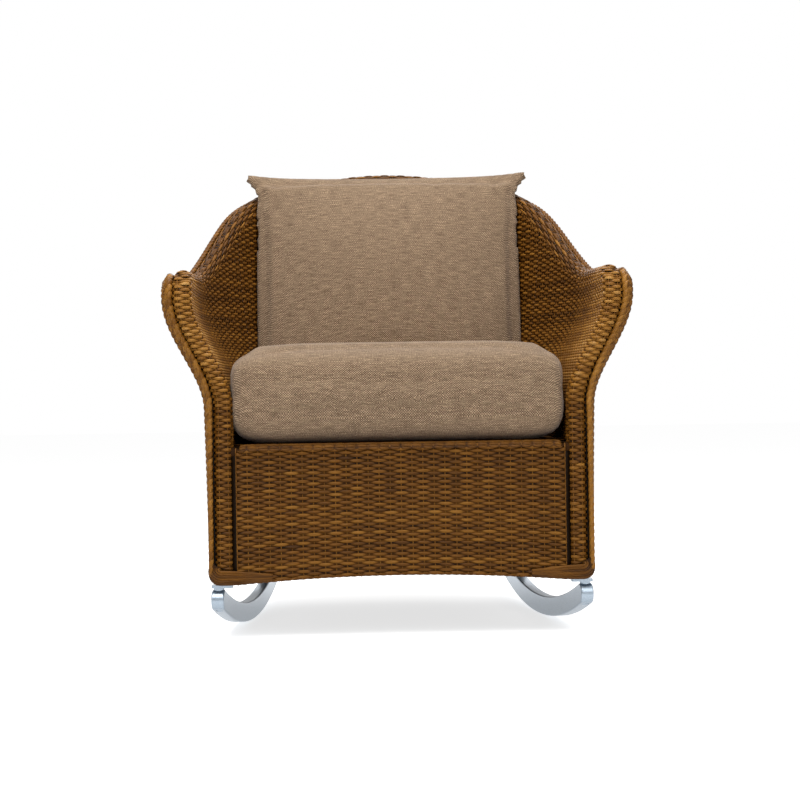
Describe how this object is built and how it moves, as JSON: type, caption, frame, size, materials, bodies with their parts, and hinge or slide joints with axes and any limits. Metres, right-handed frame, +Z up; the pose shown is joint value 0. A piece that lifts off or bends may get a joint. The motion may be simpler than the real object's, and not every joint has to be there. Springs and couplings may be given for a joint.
{
  "type": "rocking chair",
  "caption": "Woven lounge rocking chair with a barrel shell on a tube frame, curved metal rocker bars and loose seat and back cushions.",
  "frame": {"origin": "on the floor under the middle of the chair", "axes": "+X towards the chair's right-hand side as seen from the front, +Y towards its back, +Z up; the sitter faces -Y"},
  "size_m": [0.8496, 0.8414, 0.9049],
  "materials": {
    "frame_coat": "aluminium tube, powder coated dark brown, satin",
    "resin_weave": "round resin strands woven by hand, streaked brown, satin",
    "resin_braid": "resin strands plaited into a braid, streaked brown, satin",
    "brushed_aluminium": "bare extruded bar, satin",
    "zinc_steel": "zinc-plated steel",
    "basket_weave_fabric": "taupe outdoor fabric in a coarse basket weave",
    "foam_filling": "foam block wrapped in fibre wadding"
  },
  "bodies": {
    "chair": {"top_rail": "frame_coat", "front_post_left": "frame_coat", "front_post_right": "frame_coat", "rear_post_left": "frame_coat", "rear_post_right": "frame_coat", "base_rail_left": "frame_coat", "base_rail_right": "frame_coat", "base_rail_rear": "frame_coat", "seat_rail_front": "frame_coat", "seat_rail_rear": "frame_coat", "seat_rail_left": "frame_coat", "seat_rail_right": "frame_coat", "apron_rail": "frame_coat", "back_upright": "frame_coat", "deck_slats": "frame_coat", "foot_plates": "frame_coat", "post_wrap_left": "resin_weave", "post_wrap_right": "resin_weave", "rail_wrap": "resin_weave", "front_apron": "resin_weave", "outer_side_left": "resin_weave", "outer_side_right": "resin_weave", "outer_back": "resin_weave", "inner_arm_left": "resin_weave", "inner_arm_right": "resin_weave", "inner_back": "resin_weave", "seat_deck": "resin_weave", "foot_wrap_left": "resin_weave", "foot_wrap_right": "resin_weave", "rear_foot_wrap_left": "resin_weave", "rear_foot_wrap_right": "resin_weave", "post_braid_left": "resin_braid", "post_braid_right": "resin_braid", "rim_braid": "resin_braid", "rocker_left": "brushed_aluminium", "rocker_right": "brushed_aluminium", "rocker_spacers": "zinc_steel", "rocker_bolts": "zinc_steel"},
    "seat_cushion": {"seat_cushion_cover": "basket_weave_fabric", "seat_cushion_core": "foam_filling"},
    "back_cushion": {"back_cushion_cover": "basket_weave_fabric", "back_cushion_core": "foam_filling"}
  },
  "joints": [
    {"name": "seat_cushion_lift", "type": "slide", "parent": "chair", "child": "seat_cushion", "axis": [0, 0, 1], "range_m": [0, 0.35]},
    {"name": "back_cushion_lift", "type": "slide", "parent": "chair", "child": "back_cushion", "axis": [0, 0, 1], "range_m": [0, 0.4]}
  ]
}
